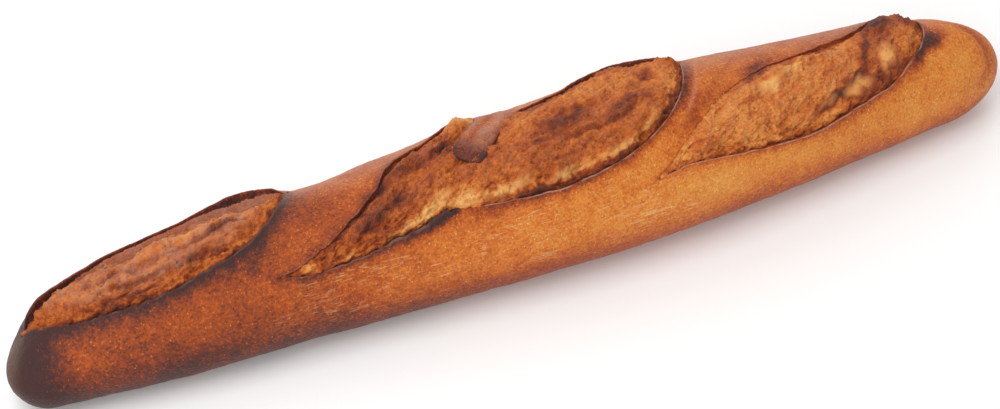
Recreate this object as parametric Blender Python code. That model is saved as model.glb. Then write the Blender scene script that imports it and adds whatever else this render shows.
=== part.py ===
"""Baguette: one short hearth-baked loaf, lying on its flat sole along X.

The loaf is a sphere drawn out along X: every ring of the sphere becomes a
cross-section, flat underneath and round on top.  Long slanting cuts have
burst open in the oven.  Each one is a leaf laid over the crust, with a raised
crust edge on both sides and a dome of torn crumb between them.  A torn tongue
of crust lies across the place where the two middle cuts ran together.

Units are metres, +Z is up, and the origin is the middle of the box under the
loaf.  The near side of the loaf is its -Y side.
"""

import math
from dataclasses import dataclass

import bmesh
import bpy
import numpy as np

# Loaf ------------------------------------------------------------------------
LENGTH = 0.450
HALF_LENGTH = LENGTH / 2
# Half widths at equal steps from one end's station to the other's.
STATION_END = 0.200
HALF_WIDTHS = (0.0250, 0.0301, 0.0316, 0.0339, 0.0362, 0.0368, 0.0337, 0.0297, 0.0257)
HEIGHT_TO_WIDTH = 0.83
BELLY_HEIGHT = 0.42          # height of the widest line, as a share of the height
UNDERSIDE_FULLNESS = 1.25    # how far the round underside would dip below the sole
SOLE_EDGE = 0.003            # the sole bends up over this height
# Depth of a rounded end and its roundness exponent: seen from above, and of the top line.
LEFT_CAP = (0.021, 1.75)
RIGHT_CAP = (0.037, 1.9)
LEFT_CROWN = (0.047, 1.5)
RIGHT_CROWN = (0.063, 2.8)
BOW = 0.0065                 # sideways bend, middle to ends
SKEW = 0.0025                # sideways S of the ends
LEFT_SLANT = 0.52            # how far the ends are drawn back on the far side
RIGHT_SLANT = 0.55

# Mesh ------------------------------------------------------------------------
RINGS = 112
SEGMENTS = 44
LIP_DENSITY = 2.0            # extra closeness of the segments at a cut's edge
LIP_DENSITY_REACH = 0.0050
TOP_DENSITY = 0.8            # extra closeness of the segments over the top half
ANGLE_SMOOTHING = 8          # passes that even the segments from ring to ring
EDGE_STEPS = 60              # points along the line of a cut's edge
OUTLINE_STEPS = 6000         # steps along the outline when the rings are spaced
AROUND_STEPS = 1440          # steps round a ring when its points are spaced
NORMAL_STEP = 0.0001         # step used to find a surface normal, metres and radians

# Cuts ------------------------------------------------------------------------
# Angles run round the loaf from the crest, in degrees, positive to the near side.


@dataclass
class Edge:
    """One long edge of a cut, a bulge on the straight line between the cut's tips."""
    bulge: float             # how far the edge stands off that line, in degrees
    start_power: float       # below 1 blunt, above 1 sharp
    end_power: float
    lip: float               # height of the raised crust at the edge, where it bulges most
    furrow: float            # depth of the furrow in the crumb along it


@dataclass
class Cut:
    """One burst cut, from its left tip to its right tip, each at (x, angle)."""
    start: tuple
    end: tuple
    near: Edge
    far: Edge
    dome: float              # height of the crumb
    ridge: float             # a torn ridge or step along the crumb: height,
    ridge_place: float       # and its place between near edge 0 and far edge 1
    ridge_width: float


CUTS = (
    Cut((-0.219, -15.0), (-0.096, -48.0), Edge(58.0, 0.50, 0.45, 0.0016, 0.0024),
        Edge(22.0, 2.20, 0.60, 0.0045, 0.0032), 0.0004, 0.0018, 0.62, 0.22),
    Cut((-0.117, 45.0), (-0.014, -52.0), Edge(60.0, 0.90, 0.38, 0.0020, 0.0030),
        Edge(9.0, 2.00, 0.60, 0.0024, 0.0028), 0.0026, 0.0018, 0.62, 0.10),
    Cut((-0.044, 30.0), (0.080, -48.0), Edge(57.0, 0.90, 0.45, 0.0022, 0.0028),
        Edge(42.0, 0.60, 0.60, 0.0012, 0.0022), 0.0034, 0.0016, 0.66, 0.16),
    Cut((0.043, 58.0), (0.192, -40.0), Edge(60.0, 1.20, 0.35, 0.0022, 0.0030),
        Edge(19.0, 1.00, 1.00, 0.0014, 0.0024), 0.0030, 0.0018, 0.58, 0.12),
)
LIP_REACH = 0.0060           # the crust starts to rise this far from the edge
LIP_THICKNESS = 0.0020       # how fast it drops inside the edge
FURROW_REACH = 0.0032        # how far inside the edge its furrow reaches
DOME_REACH = 0.0110          # the crumb is at its full height this far inside
TEAR_HEIGHT = 0.0005         # fine torn folds of the crumb
TEAR_PITCH = 0.0125
TEAR_SLANT = 0.35            # sideways drift of a fold along the cut

# The torn tongue of crust between the two middle cuts.
TONGUE_ROOT = (0.006, -58.0)
TONGUE_TIP = (-0.031, -6.0)
TONGUE_ROOT_HALF_WIDTH = 0.0110
TONGUE_TIP_HALF_WIDTH = 0.0060
TONGUE_LIFT = 0.0050         # height of its tip
TONGUE_ROOT_LIFT = 0.4       # height of its root, as a share of that
TONGUE_FADE = 0.25           # share of its length over which its root sinks into the crust
TONGUE_SHOULDER = 0.004      # width of the slope from its side down to the crust
TONGUE_FURROW = 0.0022       # how far the crumb sinks beside it

# Gentle unevenness of the crust: (height, wave length along X, waves around, phase)
SWELLS = (
    (0.00050, 0.118, 2, 0.6),
    (0.00035, 0.071, 3, 2.1),
    (0.00022, 0.043, 4, 4.4),
)
RELIEF_END = 0.4             # relief fades where the ends narrow below this share

# Crust colour, linear light
CRUST_COLOUR = (0.42, 0.13, 0.030, 1.0)
CRUST_ROUGHNESS = 0.55


def smooth_curve(stations, values, x):
    """Read a smooth curve through evenly spaced values (Catmull-Rom)."""
    step = stations[1] - stations[0]
    place = np.clip((x - stations[0]) / step, 0, len(values) - 1)
    cell = np.minimum(place.astype(int), len(values) - 2)
    f = place - cell
    padded = np.concatenate([[2 * values[0] - values[1]], values, [2 * values[-1] - values[-2]]])
    before, here, after, beyond = (padded[cell + k] for k in range(4))
    return here + 0.5 * f * (
        (after - before)
        + f * (2 * before - 5 * here + 4 * after - beyond)
        + f * f * (3 * (here - after) + beyond - before)
    )


def belly(x):
    """Half width of the loaf before its ends are rounded off."""
    stations = np.linspace(-STATION_END, STATION_END, len(HALF_WIDTHS))
    return smooth_curve(stations, np.array(HALF_WIDTHS), x)


def rounded_ends(x, left, right):
    """1 along the loaf, falling to 0 round each end."""
    result = np.ones_like(x)
    for distance, (depth, power) in ((x + HALF_LENGTH, left), (HALF_LENGTH - x, right)):
        share = np.clip(1 - distance / depth, 0, 1)
        result = result * (1 - share ** power) ** (1 / power)
    return result


def rounding(x):
    """How much of its half width the loaf keeps at x."""
    return rounded_ends(x, LEFT_CAP, RIGHT_CAP)


def plain_loaf(x, angle):
    """Points of the loaf without its cuts; angle 0 is the crest, +90 the near side."""
    width = belly(x)
    height = 2 * width * HEIGHT_TO_WIDTH
    middle = BELLY_HEIGHT * height
    share = x / HALF_LENGTH
    y = -width * rounding(x) * np.sin(angle) + BOW * (share ** 2 - 1 / 3) + SKEW * share ** 3
    up = np.cos(angle)
    above = (height - middle) * up * rounded_ends(x, LEFT_CROWN, RIGHT_CROWN)
    below = UNDERSIDE_FULLNESS * middle * up * rounding(x)
    z = middle + np.where(up > 0, above, below)
    z = np.where(z > SOLE_EDGE, z, np.clip(z + SOLE_EDGE, 0, None) ** 2 / (4 * SOLE_EDGE))
    slant = np.where(share < 0, LEFT_SLANT, -RIGHT_SLANT) * np.clip(2 * np.abs(share) - 1, 0, 1) ** 2
    return np.stack([x + slant * y, y, z], axis=-1)


def outward(x, angle):
    """Unit normals of the plain loaf, by small steps along and around it."""
    along = plain_loaf(x + NORMAL_STEP, angle) - plain_loaf(x - NORMAL_STEP, angle)
    around = plain_loaf(x, angle + NORMAL_STEP) - plain_loaf(x, angle - NORMAL_STEP)
    normal = np.cross(around, along)
    return normal / np.maximum(np.linalg.norm(normal, axis=-1, keepdims=True), 1e-12)


def leaf(t, start_power, end_power):
    """A hump over 0..1 with height 1, sharp or blunt at either end."""
    t = np.clip(t, 0, 1)
    peak = start_power / (start_power + end_power)
    top = peak ** start_power * (1 - peak) ** end_power
    return t ** start_power * (1 - t) ** end_power / top


def cut_edges(cut, x):
    """Near and far edge angle of a cut at x, in radians."""
    (start_x, start_angle), (end_x, end_angle) = cut.start, cut.end
    t = (x - start_x) / (end_x - start_x)
    chord = start_angle + (end_angle - start_angle) * np.clip(t, 0, 1)
    near = chord + cut.near.bulge * leaf(t, cut.near.start_power, cut.near.end_power)
    far = chord - cut.far.bulge * leaf(t, cut.far.start_power, cut.far.end_power)
    return np.radians(near), np.radians(far)


def distance_to_line(line_x, line_angle, x, angle):
    """Shortest distance over the crust from points to a line drawn on it, in metres."""
    radius = (belly(x) * rounding(x))[:, None]
    start_x, start_y = line_x[:-1] - x[:, None], (line_angle[:-1] - angle[:, None]) * radius
    end_x, end_y = line_x[1:] - x[:, None], (line_angle[1:] - angle[:, None]) * radius
    run_x, run_y = end_x - start_x, end_y - start_y
    share = -(start_x * run_x + start_y * run_y) / (run_x ** 2 + run_y ** 2)
    share = np.clip(share, 0, 1)
    return np.hypot(start_x + share * run_x, start_y + share * run_y).min(axis=1)


def edge_distances(cut, x, angle):
    """Distances inside the near and the far edge, negative outside, in metres."""
    t = np.sin(np.linspace(0, math.pi / 2, EDGE_STEPS)) ** 2
    line_x = cut.start[0] + (cut.end[0] - cut.start[0]) * t
    near_line, far_line = cut_edges(cut, line_x)
    near, far = cut_edges(cut, x)
    covered = (x > cut.start[0]) & (x < cut.end[0]) & (angle < near) & (angle > far)
    sign = np.where(covered, 1, -1)
    near_distance = sign * distance_to_line(line_x, near_line, x, angle)
    far_distance = sign * distance_to_line(line_x, far_line, x, angle)
    return near_distance, far_distance


def tongue_distance(x, angle):
    """Distance inside the torn tongue, negative outside, and the share of the way to its tip."""
    radius = belly(x)
    run_x = TONGUE_TIP[0] - TONGUE_ROOT[0]
    run_y = math.radians(TONGUE_TIP[1] - TONGUE_ROOT[1]) * float(belly(np.array(TONGUE_TIP[0])))
    length = math.hypot(run_x, run_y)
    from_root_x = x - TONGUE_ROOT[0]
    from_root_y = radius * (angle - math.radians(TONGUE_ROOT[1]))
    along = (from_root_x * run_x + from_root_y * run_y) / length
    side = (from_root_x * run_y - from_root_y * run_x) / length
    share = along / length
    half = TONGUE_ROOT_HALF_WIDTH + (TONGUE_TIP_HALF_WIDTH - TONGUE_ROOT_HALF_WIDTH) * np.clip(share, 0, 1)
    past_tip = np.maximum(along - length + TONGUE_TIP_HALF_WIDTH, 0)
    return half - np.hypot(side, past_tip), share


def crumb_height(cut, near, far, x, angle):
    """Height of the crumb over the plain loaf, furrowed along the edges."""
    rise = np.sin(np.clip(np.minimum(near, far) / DOME_REACH, 0, 1) * math.pi / 2)
    across = near / np.maximum(near + far, 1e-9)
    ridge = cut.ridge * np.exp(-(((across - cut.ridge_place) / cut.ridge_width) ** 2))
    furrows = cut.near.furrow * np.exp(-near / FURROW_REACH) + cut.far.furrow * np.exp(-far / FURROW_REACH)
    place = belly(x) * angle + TEAR_SLANT * x
    tears = TEAR_HEIGHT * np.sin(2 * math.pi * place / TEAR_PITCH)
    return (cut.dome + ridge + tears) * rise - furrows


def relief(x, angle):
    """Height of crust and crumb over the plain loaf."""
    crust = np.zeros_like(x)
    crumb = np.full_like(x, -1.0)
    inside = np.full_like(x, -1.0)
    for cut in CUTS:
        near, far = edge_distances(cut, x, angle)
        depth = np.where(near > 0, np.minimum(near, far), np.maximum(near, far))
        t = (x - cut.start[0]) / (cut.end[0] - cut.start[0])
        near_lip, far_lip = (e.lip * leaf(t, e.start_power, e.end_power) for e in (cut.near, cut.far))
        lip = np.where(np.abs(near) < np.abs(far), near_lip, far_lip)
        crust = np.maximum(crust, lip * np.exp(-np.abs(depth) / LIP_REACH))
        crumb = np.maximum(crumb, np.where(depth > 0, crumb_height(cut, near, far, x, angle), -1.0))
        inside = np.maximum(inside, depth)
    tongue, share = tongue_distance(x, angle)
    lifted = TONGUE_LIFT * (TONGUE_ROOT_LIFT + (1 - TONGUE_ROOT_LIFT) * np.clip(share, 0, 1) ** 2)
    lifted = lifted * np.clip(1 + share / TONGUE_FADE, 0, 1) * np.clip(1 + tongue / TONGUE_SHOULDER, 0, 1)
    crust = np.maximum(crust, lifted)
    crumb = crumb - TONGUE_FURROW * np.exp(-np.abs(tongue) / FURROW_REACH)
    inside = np.minimum(inside, -tongue)
    drop = np.clip(inside / LIP_THICKNESS, 0, 1)
    drop = drop * drop * (3 - 2 * drop)
    return np.where(inside > 0, crust + (crumb - crust) * drop, crust)


def swells(x, angle):
    """Slow unevenness of the upper crust, none on the sole."""
    total = np.zeros_like(x)
    for height, wave, around, phase in SWELLS:
        total = total + height * np.sin(2 * math.pi * x / wave + phase) * np.cos(around * angle + phase)
    return total * np.clip(np.cos(angle) + 0.5, 0, 1)


def ring_places():
    """X of every ring, spaced evenly along the loaf's outline seen from above."""
    x = HALF_LENGTH * np.sin(np.linspace(-math.pi / 2, math.pi / 2, OUTLINE_STEPS + 1))
    width = belly(x) * rounding(x)
    run = np.concatenate([[0], np.cumsum(np.hypot(np.diff(x), np.diff(width)))])
    return np.interp(np.linspace(0, run[-1], RINGS + 1), run, x)


def segment_angles(x):
    """Angles of one ring's points, closer together at the cuts' edges."""
    angle = np.linspace(-math.pi, math.pi, AROUND_STEPS + 1)
    density = 1 + TOP_DENSITY * np.clip(np.cos(angle), 0, 1)
    for cut in CUTS:
        near, far = edge_distances(cut, np.full_like(angle, x), angle)
        for distance in (near, far):
            density = density + LIP_DENSITY * np.exp(-((distance / LIP_DENSITY_REACH) ** 2))
    run = np.concatenate([[0], np.cumsum((density[1:] + density[:-1]) / 2)])
    return np.interp(np.linspace(0, run[-1], SEGMENTS, endpoint=False), run, angle)


def loaf_points(ring, segment):
    """Places of the mesh's points from their ring and segment numbers."""
    places = ring_places()
    angles = np.array([segment_angles(x) for x in places])
    for _ in range(ANGLE_SMOOTHING):
        angles[1:-1] = (angles[:-2] + 2 * angles[1:-1] + angles[2:]) / 4
    x = places[ring]
    angle = angles[ring, segment]
    height = relief(x, angle) + swells(x, angle)
    height = height * np.clip(rounding(x) / RELIEF_END, 0, 1)
    points = plain_loaf(x, angle) + outward(x, angle) * height[:, None]
    points[:, 2] = np.clip(points[:, 2], 0, None)
    return points


def centred(points):
    """The points moved so that the origin is the middle of the box round them, at its bottom."""
    middle = (points.min(axis=0) + points.max(axis=0)) / 2
    return points - (middle[0], middle[1], 0)


def make_mesh(name):
    """The loaf's mesh: a sphere with its poles on X, each point moved to the loaf."""
    bm = bmesh.new()
    bmesh.ops.create_uvsphere(bm, u_segments=SEGMENTS, v_segments=RINGS, radius=1.0)
    unit = np.array([vert.co for vert in bm.verts])
    ring = np.rint(np.arccos(np.clip(-unit[:, 2], -1, 1)) / math.pi * RINGS).astype(int)
    turn = np.arctan2(unit[:, 1], unit[:, 0]) / (2 * math.pi) * SEGMENTS
    segment = np.rint(turn).astype(int) % SEGMENTS
    for vert, point in zip(bm.verts, centred(loaf_points(ring, segment))):
        vert.co = point
    bmesh.ops.recalc_face_normals(bm, faces=bm.faces)
    mesh = bpy.data.meshes.new(name)
    bm.to_mesh(mesh)
    bm.free()
    mesh.shade_smooth()
    return mesh


def make_crust():
    """Brown baked crust."""
    material = bpy.data.materials.new("crust")
    material.use_nodes = True
    shader = material.node_tree.nodes["Principled BSDF"]
    shader.inputs["Base Color"].default_value = CRUST_COLOUR
    shader.inputs["Roughness"].default_value = CRUST_ROUGHNESS
    shader.inputs["Metallic"].default_value = 0.0
    return material


def main():
    for old in list(bpy.data.objects):
        bpy.data.objects.remove(old)
    collection = bpy.data.collections.new("baguette")
    bpy.context.scene.collection.children.link(collection)
    loaf = bpy.data.objects.new("baguette", make_mesh("baguette"))
    loaf.data.materials.append(make_crust())
    collection.objects.link(loaf)


main()
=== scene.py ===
"""Looks of the baguette: crust, burst crumb, torn crust edges and a studio stage.

Run as a script, it dresses the loaf solid.  Every piece is a closed skin made of
rings of points.  A place on the loaf is (x, angle): x runs along it, and angle
runs round it from the crest, positive to the near side, which is -Y.
"""

import math
from dataclasses import dataclass

import bpy
import numpy as np
from bpy.props import FloatProperty, FloatVectorProperty, IntProperty, PointerProperty
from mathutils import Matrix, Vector


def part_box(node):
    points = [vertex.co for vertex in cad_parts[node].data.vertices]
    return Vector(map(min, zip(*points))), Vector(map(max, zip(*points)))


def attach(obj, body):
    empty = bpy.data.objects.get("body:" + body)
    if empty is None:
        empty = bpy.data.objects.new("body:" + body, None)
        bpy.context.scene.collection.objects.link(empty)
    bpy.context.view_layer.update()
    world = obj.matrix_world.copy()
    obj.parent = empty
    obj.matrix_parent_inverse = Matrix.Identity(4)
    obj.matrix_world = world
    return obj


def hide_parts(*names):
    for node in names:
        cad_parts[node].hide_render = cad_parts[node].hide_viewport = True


bl_info = {
    "name": "Baguette",
    "version": (1, 0, 0),
    "blender": (4, 5, 0),
    "location": "View3D > Sidebar > Baguette",
    "description": "Builds a hearth-baked baguette with burst cuts and its studio stage",
    "category": "Add Mesh",
}

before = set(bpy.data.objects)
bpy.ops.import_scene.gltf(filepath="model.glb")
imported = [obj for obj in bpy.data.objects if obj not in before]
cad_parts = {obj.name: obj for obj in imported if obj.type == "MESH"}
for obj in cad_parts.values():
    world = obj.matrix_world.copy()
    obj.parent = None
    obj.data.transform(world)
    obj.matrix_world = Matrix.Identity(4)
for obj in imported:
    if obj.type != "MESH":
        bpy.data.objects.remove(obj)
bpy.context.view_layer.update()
LOAF_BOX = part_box("baguette")
LOAF_LENGTH = LOAF_BOX[1].x - LOAF_BOX[0].x
MM = 0.001
DEGREE = math.pi / 180

# Plain loaf: the form that the solid has before its cuts, in metres ------------
STATION_END = 0.200           # x of the half widths' last station, each way from the middle
HALF_WIDTHS = (0.0250, 0.0301, 0.0316, 0.0339, 0.0362, 0.0368, 0.0337, 0.0297, 0.0257)
BELLY_HEIGHT = 0.42           # height of the widest line, as a share of the loaf's height
UNDERSIDE_FULLNESS = 1.25     # depth of the round underside before it is flattened, as a share of that height
SOLE_EDGE = 0.003             # height over which the underside turns into the flat sole
LEFT_CAP = (0.021, 1.75)      # depth and power of an end's rounding, seen from above
RIGHT_CAP = (0.037, 1.9)
CAP_FADE = 0.4                # share of the rounding below which relief fades out
LEFT_CROWN = (0.047, 1.5)     # depth and power of the top's fall towards an end
RIGHT_CROWN = (0.063, 2.8)
SKEW = 0.0025                 # how far the two tips lie to opposite sides
LEFT_SLANT = 0.52             # how far an end leans out of square
RIGHT_SLANT = 0.55
FORM_MIDDLE = (-0.00138, -0.00182)  # the solid's origin in this form's own x and y
NORMAL_STEP = 0.0001          # of x and of the angle, for slopes
NOMINAL_RADIUS = 0.034        # turns an angle into a length where lines are drawn


def spline(knots, cell, f):
    """A smooth curve at share f of a cell; knots has one more value before and after the curve's own."""
    before, here, after, beyond = (knots[cell + k] for k in range(4))
    bend = 2 * before - 5 * here + 4 * after - beyond
    twist = 3 * (here - after) + beyond - before
    return here + 0.5 * f * ((after - before) + f * bend + f * f * twist)


def smooth_curve(stations, values, x):
    """Read a smooth curve through evenly spaced values."""
    step = stations[1] - stations[0]
    place = np.clip((x - stations[0]) / step, 0, len(values) - 1)
    cell = np.minimum(place.astype(int), len(values) - 2)
    knots = np.concatenate([[2 * values[0] - values[1]], values, [2 * values[-1] - values[-2]]])
    return spline(knots, cell, place - cell)


def smoothstep(value):
    """0 to 1 with level ends."""
    value = np.clip(value, 0, 1)
    return value * value * (3 - 2 * value)


def fade_in_out(share, reach, start=0.0, end=1.0):
    """1 between start and end, falling to 0 at both within reach."""
    return smoothstep((share - start) / reach) * smoothstep((end - share) / reach)


def along_loaf(table, x):
    """Reads a table of (x in mm, value) pairs."""
    places, values = np.array(table, float).T
    return np.interp(x, places * MM, values)


def belly(x):
    """Half width of the loaf before its ends are rounded off."""
    stations = np.linspace(-STATION_END, STATION_END, len(HALF_WIDTHS))
    return smooth_curve(stations, np.array(HALF_WIDTHS), x)


def rounded_ends(x, left, right):
    """1 along the loaf, falling to 0 round each end."""
    half = LOAF_LENGTH / 2
    result = np.ones_like(x)
    for distance, (depth, power) in ((x + half, left), (half - x, right)):
        share = np.clip(1 - distance / depth, 0, 1)
        result = result * (1 - share ** power) ** (1 / power)
    return result


def off_the_caps(x):
    """1 along the loaf, falling to 0 where its ends close."""
    return np.clip(rounded_ends(x, LEFT_CAP, RIGHT_CAP) / CAP_FADE, 0, 1)


def plain_loaf(x, angle):
    """Points of the loaf without its cuts."""
    sizes = bpy.context.scene.baguette_sizes
    width = belly(x)
    height = 2 * width * sizes.height_to_width
    middle = BELLY_HEIGHT * height
    share = x / (LOAF_LENGTH / 2)
    rounding = rounded_ends(x, LEFT_CAP, RIGHT_CAP)
    y = -width * rounding * np.sin(angle) + sizes.bow * (share ** 2 - 1 / 3) + SKEW * share ** 3
    up = np.cos(angle)
    above = (height - middle) * up * rounded_ends(x, LEFT_CROWN, RIGHT_CROWN)
    below = UNDERSIDE_FULLNESS * middle * up * rounding
    z = middle + np.where(up > 0, above, below)
    z = np.where(z > SOLE_EDGE, z, np.clip(z + SOLE_EDGE, 0, None) ** 2 / (4 * SOLE_EDGE))
    slant = np.where(share < 0, LEFT_SLANT, -RIGHT_SLANT) * np.clip(2 * np.abs(share) - 1, 0, 1) ** 2
    return np.stack([x + slant * y, y, z], axis=-1)


def unit(vectors):
    """Vectors made one long."""
    return vectors / np.maximum(np.linalg.norm(vectors, axis=-1, keepdims=True), 1e-12)


def outward(x, angle):
    """Unit normals of the plain loaf."""
    along = plain_loaf(x + NORMAL_STEP, angle) - plain_loaf(x - NORMAL_STEP, angle)
    around = plain_loaf(x, angle + NORMAL_STEP) - plain_loaf(x, angle - NORMAL_STEP)
    return unit(np.cross(around, along))


def to_frame(points):
    """Moves points from the form's own axes to the frame's."""
    middle = (LOAF_BOX[0] + LOAF_BOX[1]) / 2
    return points + (middle.x - FORM_MIDDLE[0], middle.y - FORM_MIDDLE[1], 0.0)


# Noise --------------------------------------------------------------------------
NOISE_GAIN = 1.9              # brings one layer to about -1 to 1
LAYER_SHIFT = 7.31            # moves each layer off the one before, in sizes


class Grain:
    """Seeded gradient noise in space."""

    def __init__(self, seed):
        source = np.random.default_rng(seed)
        self.order = np.tile(source.permutation(256), 2)
        self.slopes = unit(source.normal(size=(256, 3)))

    def __call__(self, points, size):
        """One layer with lumps about `size` across, mostly between -1 and 1."""
        place = np.asarray(points) / size
        corner = np.floor(place).astype(int)
        inside = place - corner
        fade = inside ** 3 * (inside * (inside * 6 - 15) + 10)
        total = 0
        for dx in (0, 1):
            for dy in (0, 1):
                for dz in (0, 1):
                    cell = (corner + (dx, dy, dz)) & 255
                    pick = self.order[self.order[self.order[cell[..., 0]] + cell[..., 1]] + cell[..., 2]]
                    slope = (self.slopes[pick] * (inside - (dx, dy, dz))).sum(axis=-1)
                    weight = np.ones_like(slope)
                    for axis, side in enumerate((dx, dy, dz)):
                        weight = weight * (fade[..., axis] if side else 1 - fade[..., axis])
                    total = total + weight * slope
        return total * NOISE_GAIN

    def layers(self, points, size, count, keep=0.5):
        """Several layers, each half the size and `keep` times the height of the one before."""
        points = np.asarray(points)
        total = 0
        for k in range(count):
            total = total + keep ** k * self(points + LAYER_SHIFT * size * k, size / 2 ** k)
        return total

    def waves(self, points, wave):
        """Layers as a height in metres, from (height in mm, size in mm, count)."""
        height, size, count = wave
        return height * MM * self.layers(points, size * MM, count)


# Lines over the crust ---------------------------------------------------------------
LINE_STEPS = 60               # points for each corner, before a line is evenly spaced
LINE_MARGIN = 0.03            # how far past a line's ends places still measure to it, metres
PART_SIZE = 3000              # places that are worked on at once


def drawn_line(corners, count):
    """A smooth line through (x in mm, angle in degrees) corners, evenly spaced, as (x, angle)."""
    scale = (1.0, NOMINAL_RADIUS)
    flat = np.array(corners, float) * (MM, DEGREE) * scale
    knots = np.vstack([2 * flat[0] - flat[1], flat, 2 * flat[-1] - flat[-2]])
    t = np.linspace(0, len(flat) - 1, LINE_STEPS * len(flat))
    cell = np.minimum(t.astype(int), len(flat) - 2)
    line = spline(knots, cell, (t - cell)[:, None])
    run = np.concatenate([[0], np.cumsum(np.linalg.norm(np.diff(line, axis=0), axis=1))])
    even = np.linspace(0, run[-1], count)
    return np.stack([np.interp(even, run, line[:, k]) / scale[k] for k in range(2)], axis=1)


def parts_between(x, low, high):
    """Indices of the places whose x lies between two values, in parts small enough to work on."""
    close = np.nonzero((x > low) & (x < high))[0]
    return [part for part in np.array_split(close, max(1, len(close) // PART_SIZE)) if len(part)]


def nearest_on_line(line, x, angle):
    """Distance from places to a line, the share of the way along it, and the side, +1 to its right.

    Places far past its ends in x count as 1 m away.
    """
    distance = np.full(x.shape, 1.0)
    share = np.zeros(x.shape)
    side = np.ones(x.shape)
    for part in parts_between(x, line[:, 0].min() - LINE_MARGIN, line[:, 0].max() + LINE_MARGIN):
        radius = belly(x[part])[:, None]
        px = line[:, 0] - x[part, None]
        py = (line[:, 1] - angle[part, None]) * radius
        rx, ry = np.diff(px), np.diff(py)
        along = np.clip(-(px[:, :-1] * rx + py[:, :-1] * ry) / (rx ** 2 + ry ** 2), 0, 1)
        gap = np.hypot(px[:, :-1] + along * rx, py[:, :-1] + along * ry)
        best = gap.argmin(axis=1)
        row = np.arange(len(part))
        distance[part] = gap[row, best]
        share[part] = (best + along[row, best]) / (len(line) - 1)
        cross = rx[row, best] * py[row, best] - ry[row, best] * px[row, best]
        side[part] = np.where(cross < 0, 1.0, -1.0)
    return distance, share, side


def inside_lines(near, far, x, angle):
    """Which places lie between a cut's near and far edge."""
    border = np.vstack([near, far[::-1]])
    after = np.roll(border, -1, axis=0)
    result = np.zeros(x.shape, bool)
    for part in parts_between(x, border[:, 0].min(), border[:, 0].max()):
        px, pa = x[part, None], angle[part, None]
        spans = (border[:, 0] > px) != (after[:, 0] > px)
        run = np.where(spans, after[:, 0] - border[:, 0], 1.0)
        cross = border[:, 1] + (px - border[:, 0]) / run * (after[:, 1] - border[:, 1])
        result[part] = (spans & (pa < cross)).sum(axis=1) % 2 == 1
    return result


# Cuts -----------------------------------------------------------------------------------
@dataclass
class Lip:
    """A cut's torn crust edge, from the left tip to the right tip."""
    corners: tuple            # (x in mm, angle in degrees)
    height: float             # of its rim over the crust, mm
    lean: float               # of its rim over the crumb, mm
    shape: tuple = (1, 1, 1)  # share of its height, evenly spaced along it
    reach: float = 6.0        # how far out the crust starts to rise, mm
    bake: float = 0.2         # how much darker the crust is along it
    bake_reach: float = 4.0   # mm
    wall: float = 0.75        # bake of its torn inner face
    rim: float = 0.5          # paleness of its rim, partly the thin crust's own pale edge and partly a painted highlight
    drawn: tuple = (0.0, 1.0)  # part of the line that has a torn rim
    ragged: float = 0.6       # how far its line strays, mm


@dataclass
class Spot:
    """A soft patch: a lump or hollow, a burn, a painted shadow or a pale place."""
    place: tuple              # (x in mm, angle in degrees)
    reach: tuple              # half size along and across, mm
    turn: float = 0.0         # degrees, towards the far side going right
    lift: float = 0.0         # mm
    bake: float = 0.0
    pale: float = 0.0
    power: float = 2.0        # 2 soft, higher flatter with a sharper edge
    smooth: float = 0.0       # how far it calms the torn relief, as the wall of a burst bubble does


@dataclass
class Ledge:
    """A torn step along a line: the crumb stands higher to the left of its run, the crust to the right."""
    corners: tuple            # (x in mm, angle in degrees)
    rise: float               # mm
    width: float              # mm
    bake: float               # painted shade at its foot, below the step


@dataclass
class Cut:
    """A burst cut: its two lips and the crumb between them."""
    name: str
    near: Lip
    far: Lip
    dome: float               # height of the crumb, mm
    near_furrow: float        # depth of the crumb's dip along a lip, mm
    far_furrow: float
    near_band: tuple          # (bake, width in mm) of the crumb along the near lip
    far_band: tuple
    bake: float               # of the crumb
    blister: float            # height of its blisters, mm
    lumps: float              # height of its lumps and torn plates, mm
    grain: float              # its tears run this many degrees from the loaf's length
    bloom: float              # pinkish painted sheen on its far part
    ledges: tuple
    spots: tuple


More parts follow.
